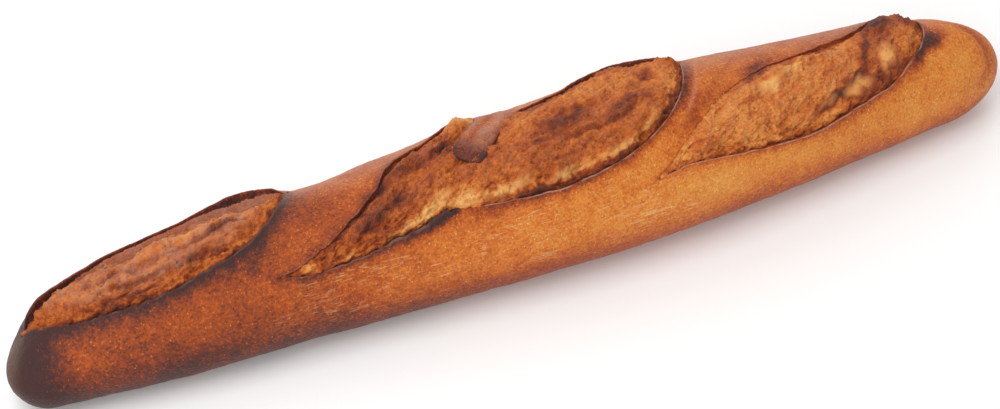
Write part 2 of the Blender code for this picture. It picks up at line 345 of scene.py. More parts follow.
LEFT_CUT = Cut(
    "left",
    near=Lip(
        ((-219, -7), (-208, 9), (-191, 26), (-166, 31), (-141, 23), (-122, 11), (-107, -11), (-98, -42)),
        height=1.3, lean=0.5, shape=(0.4, 0.8, 1, 1.1, 0.8), bake=0.4, bake_reach=3.6, wall=0.8, rim=0.12,
        ragged=0.8,
    ),
    far=Lip(
        (
            (-219, -7), (-209, -22), (-191, -29), (-166, -35), (-142, -44), (-124, -53), (-108, -56),
            (-98, -42),
        ),
        height=4.8, lean=1.0, shape=(0.35, 0.92, 0.8, 0.52, 0.36, 0.26, 0.26, 0.6, 0.98, 0.85, 0.2),
        reach=7, bake=0.12, bake_reach=3.0, wall=0.95, rim=0.1,
    ),
    dome=0.9, near_furrow=0.9, far_furrow=3.0, near_band=(0.26, 2.4), far_band=(0.4, 3.6), bake=0.48,
    blister=0.6, lumps=2.2, grain=10, bloom=0.18,
    ledges=(
        Ledge(
            ((-206, 1), (-190, 7), (-169, 8), (-147, 7), (-128, 4), (-118, -9)),
            rise=1.8, width=1.1, bake=0.22,
        ),
        Ledge(
            ((-198, -10), (-180, -5), (-164, -3), (-149, -5), (-133, -9), (-117, -18)),
            rise=2.4, width=1.0, bake=0.26,
        ),
        Ledge(((-205, 8), (-190, 15), (-172, 19), (-158, 18), (-145, 13)), rise=0.9, width=1.0, bake=0.14),
    ),
    spots=(
        Spot((-129, 8), (9, 3.4), turn=35, lift=0.3, bake=-0.06, pale=0.1),
        # The next two are hollows along the far lip, a little darker as painted shade.
        Spot((-154, -37), (36, 6.5), turn=12, lift=-3.2, bake=0.04),
        Spot((-152, -27), (38, 5), turn=12, lift=-2.0, bake=0.04),
        Spot((-146, -14), (26, 3.5), turn=10, lift=0.3, bake=-0.1, pale=0.12),
        Spot((-150, -16), (30, 6), turn=10, lift=0.7, bake=-0.08, pale=0.1),
        Spot((-110, -30), (7, 6), turn=40, lift=0.2, bake=-0.1),
        Spot((-124, -45), (20, 6.5), turn=-8, lift=-2.6, bake=0.08),
        Spot((-170, 18), (26, 4), turn=4, lift=-0.4, bake=0.03),
        Spot((-204, -17), (13, 7), turn=10, lift=4.2, bake=-0.02),
        Spot((-196, -4), (10, 3), turn=14, lift=0.8, bake=-0.06, pale=0.15),
        Spot((-178, 14), (9, 3), turn=10, lift=-0.4, bake=-0.12),
    ),
)

MIDDLE_LEFT_CUT = Cut(
    "middle left",
    near=Lip(
        ((-117, 43), (-102, 47), (-83, 46), (-61, 41), (-50, 37), (-40, 31), (-28, 10), (-14, -50)),
        height=1.7, lean=0.7, shape=(0.2, 0.3, 0.5, 0.8, 1.2, 1.7, 1.4, 0, 0, 0, 0), reach=4, bake=0.42,
        bake_reach=2.2, wall=0.9, rim=0.2, drawn=(0.0, 0.575), ragged=0.8,
    ),
    far=Lip(
        (
            (-117, 43), (-104, 37), (-89, 25), (-70, 4), (-60, -14), (-49, -23), (-37, -31), (-23, -50),
            (-14, -52),
        ),
        height=2.1, lean=0.6, shape=(0.2, 0.5, 1.0, 1.0, 1.5), bake=0.26, bake_reach=2.5, wall=0.74,
        rim=0.15,
    ),
    dome=2.6, near_furrow=0.9, far_furrow=1.4, near_band=(0.15, 1.6), far_band=(0.22, 2.5), bake=0.57,
    blister=0.6, lumps=2.4, grain=22, bloom=0.03,
    ledges=(
        Ledge(((-74, 4), (-64, 0), (-51, -5), (-38, -10), (-29, -18)), rise=2.2, width=1.2, bake=0.28),
        Ledge(((-72, 30), (-59, 24), (-47, 19), (-34, 14)), rise=1.2, width=1.4, bake=0.06),
        Ledge(((-84, 34), (-74, 24), (-64, 14), (-55, 8)), rise=1.2, width=1.4, bake=0.08),
    ),
    spots=(
        Spot((-51, -7), (15, 2.4), turn=12, lift=0.8, bake=0.08),
        Spot((-56, 33), (13, 2.0), turn=16, lift=-0.3, bake=-0.3, pale=0.75),
        Spot((-46, 24), (8, 3.0), turn=24, lift=0.3, bake=-0.3, pale=0.4),
        Spot((-37, 30), (7, 4), lift=1.2, bake=-0.3, pale=0.55),
        Spot((-75, 24), (9, 4), turn=30, lift=0.5, bake=0.22),
        Spot((-61, 15), (5, 3), turn=20, lift=0.3, bake=0.28),
        Spot((-104, 40), (3.5, 2.0), turn=10, lift=0.6, bake=-0.35, pale=0.35),
        Spot((-86, 43), (6, 1.2), turn=4, bake=-0.25, pale=0.4),
        Spot((-21, -42), (9, 9), lift=1.3, bake=-0.28, pale=0.5, smooth=0.55),
        Spot((-34, -36), (13, 8), turn=20, lift=1.9, bake=-0.16, pale=0.15, smooth=0.5),
        Spot((-40, 12), (12, 4), turn=25, lift=0.6, bake=-0.12, pale=0.1),
    ),
)

MIDDLE_RIGHT_CUT = Cut(
    "middle right",
    near=Lip(
        (
            (-44, 32), (-32, 37), (-17, 40), (3, 43), (21, 40), (36, 35), (47, 28), (60, 15), (71, -7),
            (78, -38),
        ),
        height=1.3, lean=0.3, shape=(0, 0.5, 1, 1, 1, 0.8, 0.3), reach=5, bake=0.42, bake_reach=2.8,
        wall=0.8, rim=0.7, drawn=(0.08, 1.0), ragged=0.3,
    ),
    far=Lip(
        (
            (-44, 32), (-36, 6), (-21, -16), (-5, -25), (8, -28), (20, -33), (36, -43), (54, -48),
            (70, -47), (78, -38),
        ),
        height=4.5, lean=0.6, shape=(0, 0, 0, 0.2, 0.36, 0.46, 0.5, 0.85, 1.0, 0.8, 0.35), reach=7,
        bake=0.22, bake_reach=2.0, wall=0.9, rim=0.15, drawn=(0.4, 1.0),
    ),
    dome=3.2, near_furrow=0.8, far_furrow=0.9, near_band=(0.34, 3.4), far_band=(0.14, 2.4), bake=0.47,
    blister=0.6, lumps=2.2, grain=16, bloom=0.03,
    ledges=(
        Ledge(((-10, 8), (4, 10), (22, 12), (38, 10), (50, 4)), rise=1.9, width=1.3, bake=0.14),
        Ledge(((8, -8), (24, -5), (40, -9), (56, -14)), rise=1.6, width=1.2, bake=0.12),
        Ledge(((-24, 24), (-6, 24), (12, 22), (30, 19), (44, 12)), rise=1.2, width=1.4, bake=0.05),
    ),
    spots=(
        Spot((12, 3), (12, 4.2), turn=8, lift=1.6, bake=0.4),
        Spot((40, 4), (11, 3.4), turn=20, lift=0.4, bake=0.32),
        Spot((38, -12), (20, 5), turn=14, lift=0.3, bake=-0.12),
        Spot((44, 12), (16, 4), turn=32, lift=0.4, bake=-0.1, pale=0.1),
        Spot((53, 3), (6, 4), turn=20, lift=0.2, bake=0.1),
        Spot((55.5, -17), (3.5, 2.2), lift=-0.4, bake=0.4),
        Spot((-36, 31), (6, 5), lift=1.4, bake=-0.3, pale=0.5),
        Spot((-20, 33), (13, 2.8), turn=2, lift=0.2, bake=-0.2, pale=0.55),
        Spot((8, 34.5), (12, 2.6), turn=6, lift=-0.3, bake=-0.2, pale=0.55),
        Spot((31, 30.5), (11, 2.6), turn=10, lift=-0.3, bake=-0.2, pale=0.5),
        Spot((48, 22), (8, 2.6), turn=42, lift=-0.2, bake=-0.2, pale=0.5),
        Spot((30, -22), (20, 4), turn=15, lift=0.3, bake=-0.12),
        Spot((19, 24), (10, 4), turn=10, bake=0.08),
        Spot((0, -6), (6, 3), turn=20, lift=0.5, bake=-0.15),
        Spot((3, -28), (9, 7), turn=20, lift=-1.8),
        Spot((64, -16), (6, 10), lift=0.3, bake=-0.12, pale=0.15, smooth=0.6),
    ),
)

RIGHT_CUT = Cut(
    "right",
    near=Lip(
        (
            (43, 57), (58, 53), (74, 55), (96, 58), (117, 59), (138, 52), (159, 42), (171, 29), (181, 16),
            (190, -4), (193, -30),
        ),
        height=1.5, lean=0.4, shape=(0.3, 0.7, 1, 1, 0.9), reach=5, bake=0.34, bake_reach=2.6, rim=0.6,
        ragged=0.3,
    ),
    far=Lip(
        (
            (43, 57), (54, 45), (67, 30), (83, 14), (97, 4), (108, -2), (121, -5), (138, -10), (155, -17),
            (168, -28), (182, -42), (193, -30),
        ),
        height=1.4, lean=0.3, shape=(0, 0, 0.25, 0.6, 0.9, 1, 1.0), reach=7, bake=0.22, bake_reach=2.8,
        wall=0.66, rim=0.1, drawn=(0.3, 1.0),
    ),
    dome=3.0, near_furrow=0.8, far_furrow=0.9, near_band=(0.2, 2.8), far_band=(0.26, 3.6), bake=0.32,
    blister=0.65, lumps=2.0, grain=30, bloom=0.03,
    ledges=(
        Ledge(((146, 2), (137, 15), (126, 29), (113, 43)), rise=1.4, width=1.6, bake=0.08),
        Ledge(((80, 30), (98, 20), (116, 12), (134, 0), (150, -10)), rise=1.3, width=1.5, bake=0.1),
    ),
    spots=(
        Spot((105, 17), (8, 3.4), turn=10, lift=0.4, bake=-0.15, pale=0.45, power=2.6, smooth=0.75),
        Spot((143, 34.5), (9, 3.8), turn=12, lift=-2.1, pale=0.46, power=3.0, smooth=0.9),
        Spot((128, 39.5), (8, 2.2), turn=17, lift=-1.5, bake=0.1, pale=0.3, power=3.0, smooth=0.8),
        Spot((118, 48), (6, 1.6), turn=25, lift=-0.5, bake=0.06, pale=0.3),
        Spot((161, 18), (8.5, 4.4), turn=53, lift=1.2, bake=-0.12, pale=0.4, power=3.0, smooth=0.9),
        Spot((153, 9), (10, 2.6), turn=53, lift=1.5, bake=0.46, power=3.0),
        Spot((146, 26), (9, 1.6), turn=20, lift=0.5, bake=0.28),
        Spot((128, 42), (8, 1.4), turn=24, lift=-0.6, bake=0.3),
        Spot((163, -4), (9, 4), turn=30, lift=0.6, bake=0.16),
        Spot((155, 37), (15, 3.0), turn=24, bake=0.22),
        Spot((116, 9), (11, 3), turn=20, lift=0.5, bake=-0.08, pale=0.25),
        Spot((167, -17), (5, 3), turn=10, lift=0.4, bake=0.32),
        Spot((103, 2), (7, 2.6), turn=20, lift=0.3, bake=0.4),
        Spot((171, -30), (7, 7), lift=2.0, bake=0.2, power=2.4, smooth=0.6),
        Spot((180, -26), (9, 14), lift=0.5, bake=0.12, smooth=0.6),
        Spot((172, -13), (9, 5), turn=30, lift=0.3, bake=0.3),
        Spot((187, -16), (5, 5), lift=1.2, bake=0.45, power=3.0, smooth=0.5),
    ),
)

CUTS = (LEFT_CUT, MIDDLE_LEFT_CUT, MIDDLE_RIGHT_CUT, RIGHT_CUT)
EDGE_POINTS = 150
EDGE_SEED = 40
TEAR_SIZE = 8.0               # of the torn unevenness of an edge, mm
TEAR_FADE = 0.08              # share of an edge over which it fades towards a tip
LIP_FADE = 0.06               # share of an edge over which a lip rises from a tip
LEDGE_FADE = 0.12             # the same for a ledge, and for a crease
CREASE_FADE = 0.2
CRUMB_DEPTH = 5.0             # how far the crust drops inside an edge, under the crumb, mm
CRUST_DROP = 1.6              # over this width, mm

# Burns, lumps and hollows of the crust outside the cuts, and one painted fold shadow.
CRUST_SPOTS = (
    Spot((-219, 68), (17, 30), bake=0.55, power=2.2),
    Spot((-222, -100), (10, 40), bake=0.35, power=2.6),
    Spot((-172, 96), (42, 24), lift=1.6),
    Spot((-121, 21), (8, 3), turn=55, bake=0.12),
    Spot((-98, -4), (20, 14), bake=0.1),
    Spot((-82, -50), (18, 20), lift=-1.5),
    Spot((-13, -50), (7, 8), lift=1.6),
    Spot((-46, 37), (6.5, 1.8), turn=25, bake=0.28, power=5.0),
    Spot((177, 24), (10, 2.4), turn=52, lift=0.2, bake=0.35),
    Spot((189, 12), (10, 3.4), turn=25, lift=0.2, bake=0.5, power=2.6),
    Spot((104, -4), (8, 3), turn=20, bake=0.3),
    Spot((80, 10), (22, 9), turn=36, bake=0.13),
    Spot((-25, 42.5), (9, 3.0), turn=6, bake=0.12, power=3.0),
    Spot((36, 55), (14, 8), turn=20, bake=0.06),
    # A painted fold shadow by the right cut's far edge, near its left tip.
    Spot((68, 22), (16, 3.5), turn=38, lift=-0.3, bake=0.22),
)

# Folds of the crust outside the cuts; each has painted shade at its foot and a painted highlight along its
# ridge.
CRUST_CREASES = (
    Ledge(((64, 22), (72, 6), (79, -14), (84, -38)), rise=1.0, width=1.6, bake=0.14),
    Ledge(
        ((206, -8), (209, 9), (209.5, 24), (209, 38), (206.6, 52), (204, 61), (200, 67), (194, 74)),
        rise=1.0, width=1.2, bake=0.16,
    ),
)


@dataclass
class Opening:
    """A cut with its edges drawn out, and the torn unevenness of each."""
    cut: Cut
    near: np.ndarray
    far: np.ndarray


def torn(line, grain, amount):
    """A line with a little torn unevenness, none at its tips."""
    count = len(line)
    flat = np.stack([line[:, 0], line[:, 1] * NOMINAL_RADIUS, np.zeros(count)], axis=1)
    to_tip = np.minimum(np.arange(count), count - 1 - np.arange(count))
    fade = smoothstep(to_tip / (TEAR_FADE * count))
    shift = grain.layers(flat, TEAR_SIZE * MM, 4, 0.6) * amount * fade
    result = line.copy()
    result[:, 1] += shift / NOMINAL_RADIUS
    return result


def openings():
    """Every cut with its edges."""
    made = []
    for number, cut in enumerate(CUTS):
        grain = Grain(EDGE_SEED + number)
        near, far = (
            torn(drawn_line(lip.corners, EDGE_POINTS), grain, lip.ragged * MM) for lip in (cut.near, cut.far)
        )
        made.append(Opening(cut, near, far))
    return made


def lip_shape(lip, share):
    """Height factor of a lip along its line."""
    level = smooth_curve(np.linspace(0, 1, len(lip.shape)), np.array(lip.shape, float), share)
    return np.clip(level, 0, None) * smoothstep(share / LIP_FADE) * smoothstep((1 - share) / LIP_FADE)


def spot_weight(spot, x, angle, warp):
    """How strongly a spot acts at places, with its outline made uneven by warp in metres."""
    across = (angle - spot.place[1] * DEGREE) * -belly(x)
    along = x - spot.place[0] * MM
    c, s = math.cos(spot.turn * DEGREE), math.sin(spot.turn * DEGREE)
    u = (c * along + s * across + warp[0]) / (spot.reach[0] * MM)
    v = (-s * along + c * across + warp[1]) / (spot.reach[1] * MM)
    return np.exp(-(u * u + v * v) ** (spot.power / 2))


# Meshes --------------------------------------------------------------------------------------
def closed_skin(name, rings, masks, material):
    """Adds a piece whose skin joins rings of points, closed at both ends, with values for its looks."""
    count, around = rings.shape[:2]
    points = np.concatenate([rings.reshape(-1, 3), rings[:1].mean(axis=1), rings[-1:].mean(axis=1)])
    row, column = np.meshgrid(np.arange(count - 1), np.arange(around), indexing="ij")
    beside = (column + 1) % around
    quads = np.stack([
        row * around + column, row * around + beside,
        (row + 1) * around + beside, (row + 1) * around + column,
    ], axis=-1).reshape(-1, 4)
    step = np.arange(around)
    first = count * around
    last = first + 1
    end = (count - 1) * around
    left = np.stack([np.full(around, first), (step + 1) % around, step], axis=1)
    right = np.stack([np.full(around, last), end + step, end + (step + 1) % around], axis=1)
    mesh = bpy.data.meshes.new(name)
    mesh.from_pydata(to_frame(points).tolist(), [], quads.tolist() + left.tolist() + right.tolist())
    for title, values in masks.items():
        flat = np.asarray(values, float)
        full = np.concatenate([flat.reshape(-1), [flat[0].mean()], [flat[-1].mean()]])
        mesh.attributes.new(title, "FLOAT", "POINT").data.foreach_set("value", full)
    mesh.shade_smooth()
    mesh.materials.append(material)
    piece = bpy.data.objects.new(name, mesh)
    bpy.context.scene.collection.objects.link(piece)
    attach(piece, "root")
    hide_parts("baguette")


def turned_over(rings, masks):
    """Rings and their values run round the other way, so that the faces point outwards."""
    return rings[:, ::-1], {name: values[:, ::-1] for name, values in masks.items()}


def rim_masks(bake, rim):
    """The crust's values for a piece with neither flour nor sole."""
    return {"bake": bake, "flour": 0 * bake, "sole": 0 * bake, "rim": rim}


def piece_name(cut, what):
    """Name of one of a cut's pieces."""
    return f"{cut.name} cut {what}".replace(" ", "_")


# Crust ---------------------------------------------------------------------------------------
CRUST_SEED = 7
FLOUR_SEED = 11
CRUST_WAVES = (0.45, 34, 2)   # height in mm, size in mm, layers
CRUST_RIPPLES = (0.10, 5, 2)
CREASE_REACH = 6.0            # how far a crease shifts the crust on each side, mm
ANGLE_STEPS = 1801            # round the loaf, where the points' spacing is worked out
SWEEP_STEPS = 6001            # along the loaf, likewise
ANGLE_PASSES = 30             # evens out the spacing from ring to ring

# Tables of (x in mm, value), and plain values, for the crust's bake.
BAKE_ALONG = (
    (-225, 0.68), (-190, 0.67), (-120, 0.66), (-40, 0.47), (20, 0.36), (60, 0.33), (150, 0.34), (225, 0.35),
)
FAR_BAKE_ALONG = ((-200, -0.14), (-120, -0.10), (0, 0.12), (80, 0.24))
LOW_ANGLE_ALONG = ((-150, 48), (-60, 74))  # degrees from the crest where the darker low crust starts
LOW_ANGLE_END = 108           # degrees from the crest where it is darkest
LOW_BAKE = 0.26               # how much darker the low crust is, towards the underside
TIP_BAKE = 0.12               # the same for the two tips
LEFT_TIP_BAKE = 0.34          # and for the left one again


def off_the_ends(x):
    """1 along the loaf and 0 at its two tips, where all angles meet."""
    return 1 - smoothstep((np.abs(x) / MM - 196) / 25)


def crust_bake(x, angle, points, grain):
    """How dark the crust is baked away from its cuts: 0 pale, 1 burnt."""
    round_loaf = off_the_ends(x)
    far = along_loaf(FAR_BAKE_ALONG, x)
    level = along_loaf(BAKE_ALONG, x) + far * smoothstep((0.4 - np.sin(angle)) / 1.2) * round_loaf
    low = along_loaf(LOW_ANGLE_ALONG, x)
    level = level + LOW_BAKE * smoothstep((np.abs(angle) / DEGREE - low) / (LOW_ANGLE_END - low)) * round_loaf
    level = level + TIP_BAKE * (1 - round_loaf) + LEFT_TIP_BAKE * smoothstep((-x / MM - 211) / 10)
    return level + 0.05 * grain.layers(points, 26 * MM, 3) + 0.03 * grain.layers(points, 6 * MM, 2)


def crust_painted_sheen(x, angle, points, grain):
    """Pinkish painted sheen on the far side and at the left tip."""
    turned = angle / DEGREE
    back = smoothstep((-turned - 5) / 30) * smoothstep((150 + turned) / 60) * off_the_ends(x)
    back = back * (0.35 + 0.65 * smoothstep((118 + turned) / 50))
    bloom = (0.33 + 0.14 * grain.layers(points, 7 * MM, 3)) * back
    return bloom + 0.16 * smoothstep((-x / MM - 214) / 9)


def lips_over_crust(x, angle, made, base, grain):
    """How far the cuts' lips raise and darken the crust, and the distance inside the cuts."""
    inside = np.full(x.shape, -1.0)
    rise = np.zeros(x.shape)
    dark = np.zeros(x.shape)
    for opening in made:
        within = inside_lines(opening.near, opening.far, x, angle)
        nearest = np.full(x.shape, 1.0)
        for lip, line in ((opening.cut.near, opening.near), (opening.cut.far, opening.far)):
            distance, share, _ = nearest_on_line(line, x, angle)
            shape = lip_shape(lip, share)
            rise = np.maximum(rise, lip.height * MM * shape * np.exp(-distance / (lip.reach * MM)))
            ragged = distance * (1 + 0.35 * grain(base, 4 * MM))
            fall = np.exp(-(ragged / (lip.bake_reach * MM)) ** 1.3)
            dark = np.maximum(dark, lip.bake * fall * (0.3 + 0.7 * shape))
            nearest = np.minimum(nearest, distance)
        inside = np.maximum(inside, np.where(within, nearest, -nearest))
    return rise, dark, inside


def crust_form(x, angle, made, base, grain):
    """Height of the crust over the plain loaf, its bake, its painted sheen and the distance inside the cuts.
    """
    height = grain.waves(base, CRUST_WAVES) + grain.waves(base, CRUST_RIPPLES)
    bake = crust_bake(x, angle, base, grain)
    bloom = crust_painted_sheen(x, angle, base, grain)
    rise, dark, inside = lips_over_crust(x, angle, made, base, grain)
    warp = (1.2 * MM * grain(base, 5 * MM), 1.2 * MM * grain(base + 0.1, 5 * MM))
    for spot in CRUST_SPOTS:
        weight = spot_weight(spot, x, angle, warp)
        bake = bake + spot.bake * weight
        height = height + spot.lift * MM * weight
    for crease in CRUST_CREASES:
        distance, share, side = nearest_on_line(drawn_line(crease.corners, 60), x, angle)
        signed = distance * side
        ends = fade_in_out(share, CREASE_FADE)
        step = smoothstep(signed / (crease.width * MM) + 0.5) - 0.5
        height = height + crease.rise * MM * step * ends * np.exp(-distance / (CREASE_REACH * MM))
        # Painted shade at the crease's foot, and a painted highlight along its ridge.
        bake = bake + crease.bake * np.exp(-((signed + 3 * MM) / (3 * MM)) ** 2) * ends
        bloom = bloom + 0.35 * np.exp(-(signed / (0.7 * MM)) ** 2) * ends
    return height + rise, bake + dark, bloom, inside


def flour_region(x, angle, points, grain):
    """Where flour lies in long streaks on the near side."""
    patches = smoothstep(grain.layers(points * (0.4, 1.0, 1.0), 9 * MM, 2) * 0.9 + 0.5)
    band = smoothstep((angle / DEGREE - 42) / 14) * smoothstep((100 - angle / DEGREE) / 20)
    along = smoothstep((x + 0.14) / 0.05) * smoothstep((0.13 - x) / 0.05)
    return patches * band * along


def skin_angles(x, made, count):
    """Angles of one ring's points, closer on top and at the edges of the cuts."""
    angle = np.linspace(-math.pi, math.pi, ANGLE_STEPS)
    density = 0.42 + 0.9 * smoothstep((np.cos(angle) + 0.45) / 0.4)
    places = np.full(angle.shape, x)
    for opening in made:
        for line in (opening.near, opening.far):
            if line[:, 0].min() - 0.012 < x < line[:, 0].max() + 0.012:
                distance, _, _ = nearest_on_line(line, places, angle)
                density = density + 1.3 * np.exp(-(distance / (3.5 * MM)) ** 2)
    run = np.concatenate([[0], np.cumsum((density[1:] + density[:-1]) / 2)])
    return np.interp(np.linspace(0, run[-1], count, endpoint=False), run, angle)


def ring_places(rings):
    """Even places for rings along the loaf's outline, closer in x at its ends."""
    half = LOAF_LENGTH / 2
    sweep = half * np.sin(np.linspace(-math.pi / 2, math.pi / 2, SWEEP_STEPS))
    width = belly(sweep) * rounded_ends(sweep, LEFT_CAP, RIGHT_CAP)
    run = np.concatenate([[0], np.cumsum(np.hypot(np.diff(sweep), np.diff(width)))])
    return np.interp(np.linspace(0, run[-1], rings + 2)[1:-1], run, sweep)


def build_crust(rings, segments):
    """The loaf's whole skin, which drops away under the crumb of each cut."""
    made = openings()
    places = ring_places(rings)
    angles = np.array([skin_angles(x, made, segments) for x in places])
    for _ in range(ANGLE_PASSES):
        angles[1:-1] = (angles[:-2] + 2 * angles[1:-1] + angles[2:]) / 4
    x = np.repeat(places, segments)
    angle = angles.reshape(-1)
    base = plain_loaf(x, angle)
    height, bake, bloom, inside = crust_form(x, angle, made, base, Grain(CRUST_SEED))
    height = height * off_the_caps(x)
    drop = smoothstep((inside + 0.2 * MM) / (CRUST_DROP * MM))
    height = height + (-CRUMB_DEPTH * MM - height) * drop
    points = base + outward(x, angle) * height[:, None]
    points[:, 2] = np.clip(points[:, 2], 0, None)
    masks = {
        "bake": bake,
        "flour": flour_region(x, angle, base, Grain(FLOUR_SEED)),
        "sole": smoothstep((1.5 * MM - points[:, 2]) / (1.5 * MM)),
        # The rim mask here holds the painted sheen and the creases' painted highlight.
        "rim": bloom,
    }
    masks = {name: values.reshape(rings, segments) for name, values in masks.items()}
    closed_skin("crust", points.reshape(rings, segments, 3), masks, crust_material())


# Torn rims -----------------------------------------------------------------------------------
RIM_SEED = 60
RIM_PALE_SEED = 80
RIM_RINGS = 340
RIM_FADE = 0.04               # share of an edge over which its rim rises from each end
# The rim's outer points: place before the edge and height over the crust, mm.
RIM_FOOT = ((-3.4, -0.9), (-3.0, -0.45), (-2.5, -0.16), (-2.0, -0.03), (-1.5, 0.04), (-1.05, 0.09),
            (-0.7, 0.14), (-0.4, 0.18), (-0.15, 0.22))
# Of its inner points, from the top down: how far the torn wall's bake and the pale edge show; the pale edge
# is partly the thin crust's own and partly a painted highlight.
RIM_BAKE = (0, 0.15, 0.5, 0.9, 1, 1, 1, 1, 1)
RIM_PALE = (1, 1, 0.5, 0, 0, 0, 0, 0, 0)
OUTER_PALE = (0,) * (len(RIM_FOOT) - 1) + (0.5,)


def rim_rings(opening, lip, line, inward, made, grain, count):
    """Rings of a torn rim along one edge, their bake, the crust's painted sheen there and the edge's own
    points.

    inward is +1 where the cut is to the edge's right.
    """
    start, end = lip.drawn
    share = np.linspace(start, end, count)
    whole = np.linspace(0, 1, len(line))
    x, angle = (np.interp(share, whole, line[:, k]) for k in range(2))
    radius = belly(x)
    run = unit(np.gradient(np.stack([x, angle * radius], axis=1), axis=0))
    ends = fade_in_out(share, RIM_FADE, start, end)
    full = lip_shape(lip, share)
    foot, proud = np.array(RIM_FOOT).T
    foot = foot * MM * (0.15 + 0.85 * ends)[:, None]
    foot_x = x[:, None] - foot * run[:, 1:] * inward
    foot_angle = angle[:, None] + foot * run[:, :1] * inward / radius[:, None]
    flat_x, flat_angle = foot_x.reshape(-1), foot_angle.reshape(-1)
    under = plain_loaf(flat_x, flat_angle)
    top, bake, bloom, _ = crust_form(flat_x, flat_angle, made, under, Grain(CRUST_SEED))
    top = top * off_the_caps(flat_x)
    top = top.reshape(count, -1) + (proud * ends[:, None] - 0.3 * (1 - ends[:, None])) * MM
    outer = under.reshape(count, -1, 3) + outward(foot_x, foot_angle) * top[..., None]
    base = plain_loaf(x, angle)
    normal = outward(x, angle)
    side = unit(np.cross(unit(np.gradient(base, axis=0)), normal)) * inward
    rough = grain.layers(base, 6 * MM, 3, 0.6)
    fine = grain.layers(base + 0.3, 1.5 * MM, 2)
    rise = top[:, -1] / MM + (0.15 + 0.12 * rough) * full + 0.06 * fine
    lean = lip.lean * full * (1 + 0.25 * rough)
    profile = (
        (lean * 0.55, rise + 0.06),
        (lean, rise + 0.02),
        (lean + 0.10, rise - 0.25),
        (lean * 0.8 + 0.10, rise * 0.85 - 0.50),
        (lean * 0.5 + 0.12 * fine, rise * 0.65 - 0.80),
        (lean * 0.2 + 0.15 * rough, rise * 0.35 - 1.2),
        (0.1 + 0.20 * fine, -1.7 + 0 * rise),
        (0.1 + 0 * rise, -3.2 + 0 * rise),
        (-1.5 + 0 * rise, -3.4 + 0 * rise),
    )
    sideways = np.stack([place * ends for place, _ in profile], axis=1) * MM
    height = np.stack([level * ends - 0.3 * (1 - ends) for _, level in profile], axis=1) * MM
    inner = base[:, None] + side[:, None] * sideways[..., None] + normal[:, None] * height[..., None]
    bake = bake.reshape(count, -1)
    wall = np.array(RIM_BAKE)
    wall_bake = bake[:, -1:] * (1 - wall) + (lip.wall + 0.10 * rough[:, None]) * wall
    bakes = np.concatenate([bake, wall_bake], axis=1)
    return np.concatenate([outer, inner], axis=1), bakes, bloom.reshape(count, -1), base


def build_rims():
    """The torn rims of every cut."""
    made = openings()
    for number, opening in enumerate(made):
        cut = opening.cut
        sides = ((cut.near, opening.near, -1, "near"), (cut.far, opening.far, 1, "far"))
        for lip, line, inward, title in sides:
            grain = Grain(RIM_SEED + number)
            rings, bake, bloom, base = rim_rings(opening, lip, line, inward, made, grain, RIM_RINGS)
            # The pale edge, partly a painted highlight, and over the crust's part the painted sheen.
            uneven = 0.75 + 1.1 * Grain(RIM_PALE_SEED + number).layers(base, 8 * MM, 3)
            pale = np.array(OUTER_PALE + RIM_PALE) * lip.rim * np.clip(uneven, 0.1, 1)[:, None]
            pale[:, :len(RIM_FOOT)] += bloom
            masks = rim_masks(bake, pale)
            if inward < 0:
                rings, masks = turned_over(rings, masks)
            closed_skin(piece_name(cut, f"{title} rim"), rings, masks, crust_material())


# Crumb ---------------------------------------------------------------------------------------
CRUMB_SEED = 20
CRUMB_RINGS = 300
CRUMB_ACROSS = 118            # points over its top
CRUMB_UNDER = 8               # points under it
CRUMB_SPAN = (0.012, 0.988)   # of the edges' length
CRUMB_WIDTH = (-0.02, 1.02)   # of the way between the edges
CRUMB_BASE = 7                # how far its underside lies below the plain loaf, mm
DOME_REACH = 11.0             # from an edge to the crumb's full height, mm
LEDGE_REACH = 9.0             # how far a ledge shifts the crumb on each side, mm


def torn_plates(field):
    """A field broken into level plates with steep torn steps between them."""
    level = np.floor(field)
    return (level + smoothstep((field - level) / 0.28)) * 0.5


def tears(cut, base, grain):
    """The torn relief along a cut's grain: lumps, plates, blisters, crests, cracks and fine grain."""
    slant = np.array([math.cos(cut.grain * DEGREE), math.sin(cut.grain * DEGREE), 0.0])
    run = base - (base @ slant)[:, None] * slant * 0.5
    lump = grain.layers(run, 10 * MM, 4, 0.6)
    plates = torn_plates(grain.layers(run + 0.2, 8 * MM, 3, 0.55) * 2.2)
    blister = 0.6 - np.abs(grain(run + 0.5, 1.9 * MM)) * 1.6
    crest = 0.5 - 1.5 * np.abs(grain.layers(run + 1.3, 5.5 * MM, 3, 0.6))
    crack = 1 - smoothstep(np.abs(grain.layers(run + 0.4, 8 * MM, 2, 0.6)) / 0.26)
    return lump, plates, blister, crest, crack, grain(run + 0.9, 1.1 * MM)


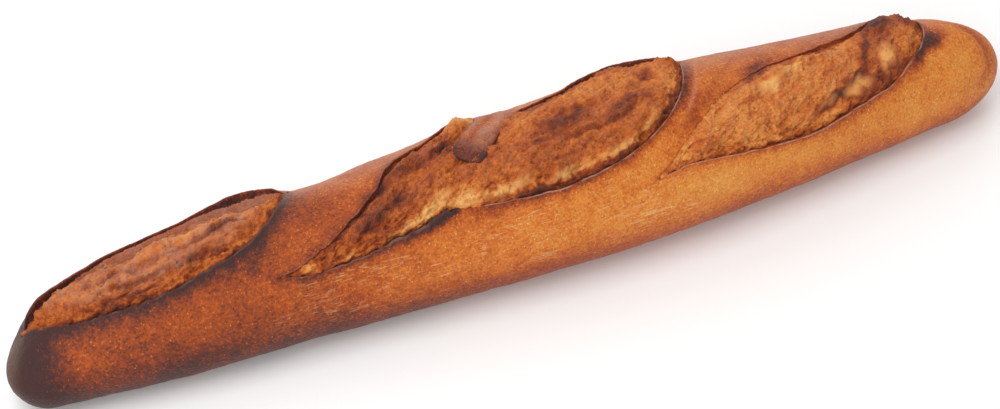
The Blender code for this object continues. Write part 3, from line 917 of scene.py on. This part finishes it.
def crumb_form(opening, x, angle, base, grain):
    """Height of a cut's crumb over the plain loaf, and the values for its looks."""
    cut = opening.cut
    warp = (2.0 * MM * grain(base, 6 * MM), 1.6 * MM * grain(base + 0.1, 4 * MM))
    weights = [spot_weight(spot, x, angle, warp) for spot in cut.spots]
    smooth = np.zeros(x.shape)
    for spot, weight in zip(cut.spots, weights):
        smooth = np.maximum(smooth, spot.smooth * weight)
    near_gap, near_share, _ = nearest_on_line(opening.near, x, angle)
    far_gap, far_share, _ = nearest_on_line(opening.far, x, angle)
    near_lip = np.clip(lip_shape(cut.near, near_share) * 1.2, 0, 1)
    far_lip = np.clip(lip_shape(cut.far, far_share) * 1.2, 0, 1)
    edge = np.minimum(near_gap, far_gap)
    room = smoothstep(edge / (4 * MM))
    calm = (1 - 0.42 * smoothstep((near_gap / MM - 6) / 10)) * (1 - smooth)
    height = cut.dome * np.sin(np.clip(edge / (DOME_REACH * MM), 0, 1) * math.pi / 2)
    height = height - cut.near_furrow * near_lip * np.exp(-near_gap / (1.8 * MM))
    height = height - cut.far_furrow * far_lip * np.exp(-far_gap / (2.4 * MM))
    lump, plates, blister, crest, crack, fine = tears(cut, base, grain)
    relief = lump * (0.3 + 0.7 * room) + plates * room + 0.45 * crest - 0.4 * crack * room
    height = height + cut.lumps * calm * relief
    height = height + calm * (cut.blister * blister + 0.16 * fine)
    # Tone from the torn relief: lumps and plates darker as toasted, blisters and crests paler, and painted
    # shade in the cracks.
    toast_and_painted_shade = 0.06 * lump + 0.10 * plates * room - 0.07 * blister - 0.05 * crest + 0.06 * crack
    bake = cut.bake + calm * toast_and_painted_shade
    pale = np.zeros(x.shape)
    for ledge in cut.ledges:
        distance, share, side = nearest_on_line(drawn_line(ledge.corners, 80), x, angle)
        signed = -distance * side + 1.2 * MM * grain.layers(base + 0.7, 10 * MM, 4, 0.55)
        broken = np.clip(0.85 + 0.8 * grain.layers(base + 2.1, 13 * MM, 2), 0.1, 1.4)
        ends = fade_in_out(share, LEDGE_FADE) * broken
        step = smoothstep(signed / (ledge.width * MM) + 0.5) - 0.5
        height = height + ledge.rise * step * ends * np.exp(-distance / (LEDGE_REACH * MM))
        # Painted shade at the foot of the step.
        bake = bake + ledge.bake * np.exp(-((signed + 0.7 * MM) / (1.2 * MM)) ** 2) * ends
    for spot, weight in zip(cut.spots, weights):
        height = height + spot.lift * weight
        toasted_ring = 0.9 * max(0, spot.smooth - 0.6) * weight * (1 - weight) * 4
        bake = bake + spot.bake * weight + toasted_ring
        pale = np.maximum(pale, spot.pale * weight)
    for (level, width), gap, drawn in ((cut.near_band, near_gap, near_lip), (cut.far_band, far_gap, far_lip)):
        ragged = gap * (1 + 0.40 * grain.layers(base, 3.5 * MM, 2)) / (width * MM)
        band = (1 - smoothstep((ragged - 0.75) / 0.4)) * drawn
        bake = bake + level * band
        pale = pale * (1 - 0.9 * band * min(1, level * 2.5))
    patches = np.clip(1 + 0.8 * grain.layers(base + 1.7, 5 * MM, 4, 0.6), 0, 2)
    # Pinkish painted sheen on the far part of the crumb, patchy, none where it is dark.
    bloom = cut.bloom * smoothstep((near_gap / MM - 4) / 8) * patches * smoothstep((1.0 - bake) / 0.5)
    return height * MM, {"bake": bake, "pale": pale, "bloom": bloom, "smooth": smooth}


def build_crumb():
    """The burst crumb of every cut."""
    share = np.linspace(*CRUMB_SPAN, CRUMB_RINGS)
    whole = np.linspace(0, 1, EDGE_POINTS)
    across = np.linspace(*CRUMB_WIDTH, CRUMB_ACROSS)
    grid = (CRUMB_RINGS, CRUMB_ACROSS)
    below = np.linspace(CRUMB_ACROSS - 1, 0, CRUMB_UNDER).astype(int)
    for number, opening in enumerate(openings()):
        near, far = (
            np.stack([np.interp(share, whole, line[:, k]) for k in range(2)], axis=1)
            for line in (opening.near, opening.far)
        )
        places = near[:, None] + (far - near)[:, None] * across[None, :, None]
        x, angle = places[..., 0].reshape(-1), places[..., 1].reshape(-1)
        base, normal = plain_loaf(x, angle), outward(x, angle)
        height, masks = crumb_form(opening, x, angle, base, Grain(CRUMB_SEED + number))
        top = (base + normal * height[:, None]).reshape(*grid, 3)
        deep = (base - normal * CRUMB_BASE * MM).reshape(*grid, 3)[:, below]
        unseen = np.zeros((CRUMB_RINGS, CRUMB_UNDER))
        masks = {name: np.hstack([values.reshape(grid), unseen]) for name, values in masks.items()}
        rings = np.concatenate([top, deep], axis=1)
        closed_skin(piece_name(opening.cut, "crumb"), rings, masks, crumb_material())


# The torn tongue of crust between the two middle cuts ----------------------------------
TONGUE_SEED = 90
TONGUE_RINGS = 150
TONGUE_AROUND = 64
TONGUE_LINE = ((7, -60), (1, -44), (-8, -26), (-19, -10), (-31, 8))  # root to tip: x in mm, angle in degrees
TONGUE_HALF_WIDTHS = (12.0, 9.5, 7.8, 7.2, 7.0)  # mm, evenly spaced along it
TONGUE_HEIGHTS = (-2.2, -0.4, 3.0, 4.4, 4.8)     # over the plain loaf, mm
TONGUE_THICKNESS = 2.0        # mm
TONGUE_REACH = 50             # its rough length, for its blunt tip, mm
TONGUE_SAG = 0.018            # drop in mm for each square mm of distance from its middle line
TONGUE_CURL = 0.9             # lift of its tip's edges, mm


def build_tongue():
    """The torn tongue, lying across the crumb with its burnt tip lifted."""
    grain = Grain(TONGUE_SEED)
    line = drawn_line(TONGUE_LINE, TONGUE_RINGS)
    share = np.linspace(0, 1, TONGUE_RINGS)
    stations = np.linspace(0, 1, len(TONGUE_LINE))
    half = smooth_curve(stations, np.array(TONGUE_HALF_WIDTHS), share)
    lift = smooth_curve(stations, np.array(TONGUE_HEIGHTS), share)
    to_tip = (1 - share) * TONGUE_REACH / half
    blunt = np.clip(1 - np.clip(1 - to_tip, 0, 1) ** 4.0, 0.0004, 1) ** 0.4
    x, angle = line[:, 0], line[:, 1]
    base, normal = plain_loaf(x, angle), outward(x, angle)
    side = unit(np.cross(unit(np.gradient(base, axis=0)), normal))
    turn = np.linspace(0, 2 * math.pi, TONGUE_AROUND, endpoint=False)
    sideways = np.sign(np.cos(turn)) * np.abs(np.cos(turn)) ** 0.7
    thick = np.sign(np.sin(turn)) * np.abs(np.sin(turn)) ** 0.8
    width = (half * blunt)[:, None] * sideways
    sag = -TONGUE_SAG * width ** 2
    curl = TONGUE_CURL * smoothstep((share - 0.75) / 0.25)[:, None] * np.abs(sideways) ** 3
    height = lift[:, None] + sag + curl + TONGUE_THICKNESS / 2 * thick * np.sqrt(blunt)[:, None]
    rings = base[:, None] + side[:, None] * (width * MM)[..., None]
    rings = rings + normal[:, None] * (height * MM)[..., None]
    flat = np.stack([share[:, None] * 0.02 + 0 * width, width * MM, 0 * width], axis=-1)
    wrinkles = grain.layers(flat, 5 * MM, 2)
    rough = 0.25 * grain.layers(rings, 8 * MM, 2) + 0.45 * wrinkles * blunt[:, None]
    rough = (rough + 0.12 * grain(rings, 2 * MM))[..., None]
    rings = rings + normal[:, None] * (rough * MM) + side[:, None] * (0.3 * rough * MM)
    burnt = smoothstep((share - 0.72) / 0.22)[:, None]
    edge = np.abs(sideways)[None] ** 6
    bake = 0.65 + 0.22 * burnt + 0.16 * edge + 0.08 * grain.layers(rings, 5 * MM, 2)
    # Pale on its top and its wrinkles, away from the burnt tip and edges: a painted highlight.
    masks = rim_masks(bake, (0.30 + 0.3 * wrinkles) * (1 - burnt) * (1 - edge))
    closed_skin("torn_tongue", *turned_over(rings, masks), crust_material())


# Materials ----------------------------------------------------------------------------------
class Socket:
    """A shader value that can be used in Python arithmetic."""

    def __init__(self, graph, socket):
        self.graph = graph
        self.socket = socket

    def math(self, operation, *values):
        """A Math node on these values."""
        return self.graph.add("ShaderNodeMath", {"operation": operation}, dict(enumerate(values)))

    def __add__(self, other):
        return self.math("ADD", self, other)

    __radd__ = __add__

    def __sub__(self, other):
        return self.math("SUBTRACT", self, other)

    def __rsub__(self, other):
        return self.math("SUBTRACT", other, self)

    def __mul__(self, other):
        return self.math("MULTIPLY", self, other)

    __rmul__ = __mul__

    def over(self, low, high):
        """0 below low, 1 above high, smooth between."""
        return self.graph.add(
            "ShaderNodeMapRange", {"interpolation_type": "SMOOTHSTEP"},
            {"Value": self, "From Min": low, "From Max": high, "To Min": 0.0, "To Max": 1.0},
            "Result",
        )

    def held(self):
        """Kept between 0 and 1."""
        return self.math("MAXIMUM", self.math("MINIMUM", self, 1.0), 0.0)


class Graph:
    """The nodes of one material."""

    def __init__(self, name):
        self.material = bpy.data.materials.new(name)
        self.material.use_nodes = True
        self.nodes = self.material.node_tree.nodes
        self.links = self.material.node_tree.links
        self.shader = self.nodes["Principled BSDF"]

    def plug(self, node, inputs):
        """Sets values or links of a node's sockets."""
        for key, value in inputs.items():
            socket = node.inputs[key]
            if isinstance(value, Socket):
                self.links.new(value.socket, socket)
            else:
                socket.default_value = value

    def add(self, kind, settings=None, inputs=None, output=0):
        """A node of a kind, its settings first and then its sockets; returns one output."""
        node = self.nodes.new(kind)
        for key, value in (settings or {}).items():
            if key == "stops":
                self.set_stops(node.color_ramp, value)
            else:
                setattr(node, key, value)
        self.plug(node, inputs or {})
        return Socket(self, node.outputs[output])

    @staticmethod
    def set_stops(ramp, stops):
        """The colours of a ramp, from (place, colour) pairs."""
        while len(ramp.elements) > 1:
            ramp.elements.remove(ramp.elements[-1])
        ramp.elements[0].position = stops[0][0]
        ramp.elements[0].color = stops[0][1]
        for place, colour in stops[1:]:
            ramp.elements.new(place).color = colour

    def mask(self, name):
        """A value stored on the mesh."""
        return self.add("ShaderNodeAttribute", {"attribute_name": name}, None, "Fac")

    def noise(self, place, size, detail=2.0, roughness=0.5):
        """Noise with lumps about size metres across, 0 to 1."""
        return self.add("ShaderNodeTexNoise", None, {
            "Vector": place, "Scale": 1 / size, "Detail": detail, "Roughness": roughness,
        }, "Fac")

    def cells(self, place, size):
        """Distance from the middle of scattered cells, 0 at the middles."""
        return self.add("ShaderNodeTexVoronoi", None, {"Vector": place, "Scale": 1 / size}, "Distance")

    def mix(self, share, first, second):
        """A colour between two."""
        return self.add("ShaderNodeMix", {"data_type": "RGBA"}, {"Factor": share, 6: first, 7: second}, 2)

    def toned(self, tone, tones):
        """A colour by tone, from (tone, name of a colour property) pairs."""
        looks = bpy.context.scene.baguette_looks
        stops = [(place, tinted(getattr(looks, name))) for place, name in tones]
        return self.add("ShaderNodeValToRGB", {"stops": stops}, {"Fac": tone}, "Color")

    def bumped(self, height, distance):
        """A normal from a height, 0 to 1, that stands for a distance in metres."""
        return self.add("ShaderNodeBump", None, {
            "Height": height, "Distance": distance, "Strength": 1.0,
        }, "Normal")


def linear(colour):
    """A screen colour, 0 to 255, as linear light with alpha."""
    share = np.array(colour, float) / 255
    light = np.where(share <= 0.04045, share / 12.92, ((share + 0.055) / 1.055) ** 2.4)
    return (*light.tolist(), 1.0)


def tinted(colour):
    """A colour property with alpha."""
    return (*colour, 1.0)


CRUST_TONES = (
    (0.0, "pale_crust"), (0.22, "golden_crust"), (0.42, "orange_crust"),
    (0.62, "brown_crust"), (0.82, "dark_crust"), (1.0, "burnt_crust"),
)
CRUMB_TONES = (
    (0.0, "pale_crumb"), (0.2, "golden_crumb"), (0.42, "toasted_crumb"),
    (0.64, "brown_crumb"), (0.84, "dark_crumb"), (1.0, "burnt_crumb"),
)
CRUST_BUMP = 0.0006           # metres
CRUMB_BUMP = 0.0008
FLOUR_STRETCH = (0.11, 1.0, 1.0)  # draws the flour out into streaks along the loaf


def crust_material():
    """Baked crust: golden to burnt, with blisters, flour and a faint gloss."""
    old = bpy.data.materials.get("baked crust")
    if old:
        return old
    looks = bpy.context.scene.baguette_looks
    g = Graph("baked crust")
    place = g.add("ShaderNodeTexCoord", None, None, "Object")
    patches = g.noise(place, 0.014, 3.0, 0.55) - 0.5
    mottle = g.noise(place, 0.0024, 4.0, 0.7) - 0.5
    fine = g.noise(place, 0.0011, 2.0, 0.6) - 0.5
    raised = 1 - g.cells(place, 0.0021).over(0.08, 0.27)
    spark = raised * g.noise(place, 0.0050, 1.0).over(0.34, 0.47)
    pitted = (1 - g.cells(place, 0.0013).over(0.12, 0.36)) * g.noise(place, 0.006, 1.0).over(0.50, 0.62)
    uneven = g.mask("bake") * 0.40 + 0.16
    tone = g.mask("bake") + patches * 0.14 + mottle * uneven + fine * 0.50 - spark * 0.27 + pitted * 0.12
    colour = g.toned(tone.held(), CRUST_TONES)
    stretched = g.add(
        "ShaderNodeMapping", {"vector_type": "POINT"}, {"Vector": place, "Scale": FLOUR_STRETCH}, "Vector",
    )
    streak = g.noise(stretched, 0.0008, 2.0, 0.6).over(0.53, 0.70)
    colour = g.mix(g.mask("flour") * streak * 0.45, colour, tinted(looks.flour))
    # Pale rims, partly a painted highlight, plus painted sheen on the far side and painted highlights along
    # creases.
    colour = g.mix(g.mask("rim") * 0.75, colour, tinted(looks.rim))
    colour = g.mix(g.mask("sole") * 0.5, colour, tinted(looks.sole))
    relief = fine * 0.55 + mottle * 0.9 + spark * 0.45 - pitted * 0.3
    g.plug(g.shader, {
        "Base Color": colour,
        "Roughness": (0.50 + fine * 0.35 + g.mask("rim") * 0.2).held(),
        "Normal": g.bumped(relief, CRUST_BUMP),
        "Specular IOR Level": 0.18,
        "Sheen Weight": 0.03,
        "Sheen Roughness": 0.45,
    })
    return g.material


def crumb_material():
    """Torn, toasted crumb: pale in its hollows, brown on its blisters."""
    old = bpy.data.materials.get("toasted crumb")
    if old:
        return old
    looks = bpy.context.scene.baguette_looks
    g = Graph("toasted crumb")
    place = g.add("ShaderNodeTexCoord", None, None, "Object")
    torn = 1 - g.mask("smooth") * 0.75
    mottle = (g.noise(place, 0.0045, 4.0, 0.65) - 0.5) * torn
    fine = (g.noise(place, 0.0013, 3.0, 0.7) - 0.5) * torn
    cells = g.cells(place, 0.0017)
    toasted = (1 - cells.over(0.15, 0.50)) * g.noise(place, 0.005, 2.0).over(0.42, 0.58)
    tone = g.mask("bake") + mottle * 0.36 + fine * 0.62 + toasted * 0.06
    colour = g.toned(tone.held(), CRUMB_TONES)
    lift = (g.mask("pale") * (mottle * 4.0 + fine * 3.0 + 1.9) - 0.3).held()
    colour = g.mix(lift * 0.65, colour, tinted(looks.pale_crumb))
    # Pinkish painted sheen on the crumb's far part.
    bloom = (g.mask("bloom") * (fine * 2.0 + mottle * 1.5 + 1.0)).held()
    colour = g.mix(bloom, colour, tinted(looks.rim))
    g.plug(g.shader, {
        "Base Color": colour,
        "Roughness": (0.68 + fine * 0.4).held(),
        "Normal": g.bumped(fine * 0.9 + mottle * 0.8 + toasted * 0.5, CRUMB_BUMP),
        "Specular IOR Level": 0.2,
        "Sheen Weight": 0.05,
        "Sheen Roughness": 0.5,
    })
    return g.material


# Add-on ---------------------------------------------------------------------------------------
def colour_property(name, description, screen):
    """A colour that the sidebar shows."""
    return FloatVectorProperty(
        name=name, description=description, subtype="COLOR", size=3, min=0.0, max=1.0,
        default=linear(screen)[:3],
    )


class BaguetteSizes(bpy.types.PropertyGroup):
    """Sizes of the loaf and of its mesh."""
    height_to_width: FloatProperty(
        name="Height to width", description="Height of the plain loaf as a share of its width", default=0.83,
    )
    bow: FloatProperty(
        name="Bow", description="Sideways bend of the loaf, from its middle to its ends",
        default=0.0065, unit="LENGTH",
    )
    rings: IntProperty(name="Rings", description="Rings of points along the crust", default=470)
    segments: IntProperty(name="Segments", description="Points round the crust", default=210)


class BaguetteLooks(bpy.types.PropertyGroup):
    """Colours of crust and crumb."""
    pale_crust: colour_property("Pale crust", "Least baked crust", (238, 184, 108))
    golden_crust: colour_property("Golden crust", "Lightly baked crust", (220, 149, 66))
    orange_crust: colour_property("Orange crust", "Well baked crust", (203, 111, 42))
    brown_crust: colour_property("Brown crust", "Darkly baked crust", (165, 75, 28))
    dark_crust: colour_property("Dark crust", "Nearly burnt crust", (110, 50, 32))
    burnt_crust: colour_property("Burnt crust", "Burnt crust", (66, 40, 38))
    flour: colour_property("Flour", "Flour baked onto the crust", (240, 196, 140))
    # Pale pinkish rim colour, partly a painted highlight; it is also the colour of the painted sheen.
    rim: colour_property("Rim", "Thin torn rim of a crust edge", (208, 168, 144))
    sole: colour_property("Sole", "Underside of the loaf", (150, 92, 58))
    pale_crumb: colour_property("Pale crumb", "Hardly baked crumb", (230, 182, 112))
    golden_crumb: colour_property("Golden crumb", "Lightly baked crumb", (220, 146, 72))
    toasted_crumb: colour_property("Toasted crumb", "Toasted crumb", (195, 104, 40))
    brown_crumb: colour_property("Brown crumb", "Browned crumb", (150, 67, 27))
    dark_crumb: colour_property("Dark crumb", "Dark crumb", (108, 50, 30))
    burnt_crumb: colour_property("Burnt crumb", "Burnt crumb", (78, 46, 40))


class BAGUETTE_OT_crust(bpy.types.Operator):
    """Build the loaf's crust"""
    bl_idname = "baguette.crust"
    bl_label = "Crust"

    def execute(self, context):
        sizes = context.scene.baguette_sizes
        build_crust(sizes.rings, sizes.segments)
        return {"FINISHED"}


class BAGUETTE_OT_rims(bpy.types.Operator):
    """Build the torn rims along the cuts"""
    bl_idname = "baguette.rims"
    bl_label = "Torn rims"

    def execute(self, context):
        build_rims()
        return {"FINISHED"}


class BAGUETTE_OT_crumb(bpy.types.Operator):
    """Build the burst crumb of the cuts"""
    bl_idname = "baguette.crumb"
    bl_label = "Crumb"

    def execute(self, context):
        build_crumb()
        return {"FINISHED"}


class BAGUETTE_OT_tongue(bpy.types.Operator):
    """Build the torn tongue of crust"""
    bl_idname = "baguette.tongue"
    bl_label = "Torn tongue"

    def execute(self, context):
        build_tongue()
        return {"FINISHED"}


CAMERA_TARGET = (-0.0115, 0.0018, 0.0209)
CAMERA_TURN = -22.5
CAMERA_RISE = 48.0
CAMERA_DISTANCE = 1.0
CAMERA_NEAREST = 0.05
LENS = 85.9
SENSOR_WIDTH = 36.0
FLOOR_HALF = 4.0
SKY_STRENGTH = 0.60
LIGHTS = (
    # name, (turn, rise) in degrees, distance, size, power
    ("top light", (-75, 66), 1.3, 0.8, 7.0),
    ("back light", (160, 38), 1.4, 1.2, 4.5),
    ("front light", (-40, 32), 1.6, 1.4, 7.5),
)


def direction(turn, rise):
    """Unit vector to a place round the loaf."""
    a, e = turn * DEGREE, rise * DEGREE
    return Vector((math.sin(a) * math.cos(e), -math.cos(a) * math.cos(e), math.sin(e)))


def aimed(name, data, towards, distance):
    """A lamp or camera at a distance from the loaf, facing it."""
    thing = bpy.data.objects.new(name, data)
    thing.location = Vector(CAMERA_TARGET) + towards * distance
    thing.rotation_euler = towards.to_track_quat("Z", "Y").to_euler()
    bpy.context.scene.collection.objects.link(thing)
    return thing


def build_floor():
    """A wide, pale floor."""
    corners = [(x * FLOOR_HALF, y * FLOOR_HALF, 0) for x, y in ((-1, -1), (1, -1), (1, 1), (-1, 1))]
    mesh = bpy.data.meshes.new("floor")
    mesh.from_pydata(corners, [], [(0, 1, 2, 3)])
    floor = bpy.data.objects.new("floor", mesh)
    bpy.context.scene.collection.objects.link(floor)
    g = Graph("pale floor")
    g.plug(g.shader, {"Base Color": (0.97, 0.97, 0.97, 1.0), "Roughness": 0.9, "Specular IOR Level": 0.1})
    mesh.materials.append(g.material)


def build_lights(scene):
    """The sky and the lamps."""
    world = bpy.data.worlds.new("studio")
    world.use_nodes = True
    sky = world.node_tree.nodes["Background"]
    sky.inputs["Color"].default_value = (1.0, 1.0, 1.0, 1.0)
    sky.inputs["Strength"].default_value = SKY_STRENGTH
    scene.world = world
    for name, (turn, rise), distance, size, power in LIGHTS:
        light = bpy.data.lights.new(name, "AREA")
        light.size = size
        light.energy = power
        aimed(name, light, direction(turn, rise), distance)


def build_camera(scene):
    """The camera."""
    lens = bpy.data.cameras.new("camera")
    lens.lens = LENS
    lens.sensor_width = SENSOR_WIDTH
    lens.clip_start = CAMERA_NEAREST
    scene.camera = aimed("camera", lens, direction(CAMERA_TURN, CAMERA_RISE), CAMERA_DISTANCE)


class BAGUETTE_OT_stage(bpy.types.Operator):
    """Build the floor, the lights and the camera"""
    bl_idname = "baguette.stage"
    bl_label = "Stage"

    def execute(self, context):
        build_floor()
        build_lights(context.scene)
        build_camera(context.scene)
        context.scene.view_settings.view_transform = "Standard"
        return {"FINISHED"}


OPERATORS = (BAGUETTE_OT_crust, BAGUETTE_OT_crumb, BAGUETTE_OT_rims, BAGUETTE_OT_tongue, BAGUETTE_OT_stage)


class BAGUETTE_PT_panel(bpy.types.Panel):
    """The baguette's sizes, colours and pieces"""
    bl_idname = "BAGUETTE_PT_panel"
    bl_label = "Baguette"
    bl_space_type = "VIEW_3D"
    bl_region_type = "UI"
    bl_category = "Baguette"

    def draw(self, context):
        for group in (context.scene.baguette_sizes, context.scene.baguette_looks):
            box = self.layout.box()
            for name in group.__annotations__:
                box.prop(group, name)
        for operator in OPERATORS:
            self.layout.operator(operator.bl_idname)


CLASSES = (BaguetteSizes, BaguetteLooks, *OPERATORS, BAGUETTE_PT_panel)


def register():
    for item in CLASSES:
        bpy.utils.register_class(item)
    bpy.types.Scene.baguette_sizes = PointerProperty(type=BaguetteSizes)
    bpy.types.Scene.baguette_looks = PointerProperty(type=BaguetteLooks)


def unregister():
    del bpy.types.Scene.baguette_looks
    del bpy.types.Scene.baguette_sizes
    for item in reversed(CLASSES):
        bpy.utils.unregister_class(item)


def main():
    register()
    bpy.ops.baguette.crust()
    bpy.ops.baguette.crumb()
    bpy.ops.baguette.rims()
    bpy.ops.baguette.tongue()
    bpy.ops.baguette.stage()


if __name__ == "__main__":
    main()
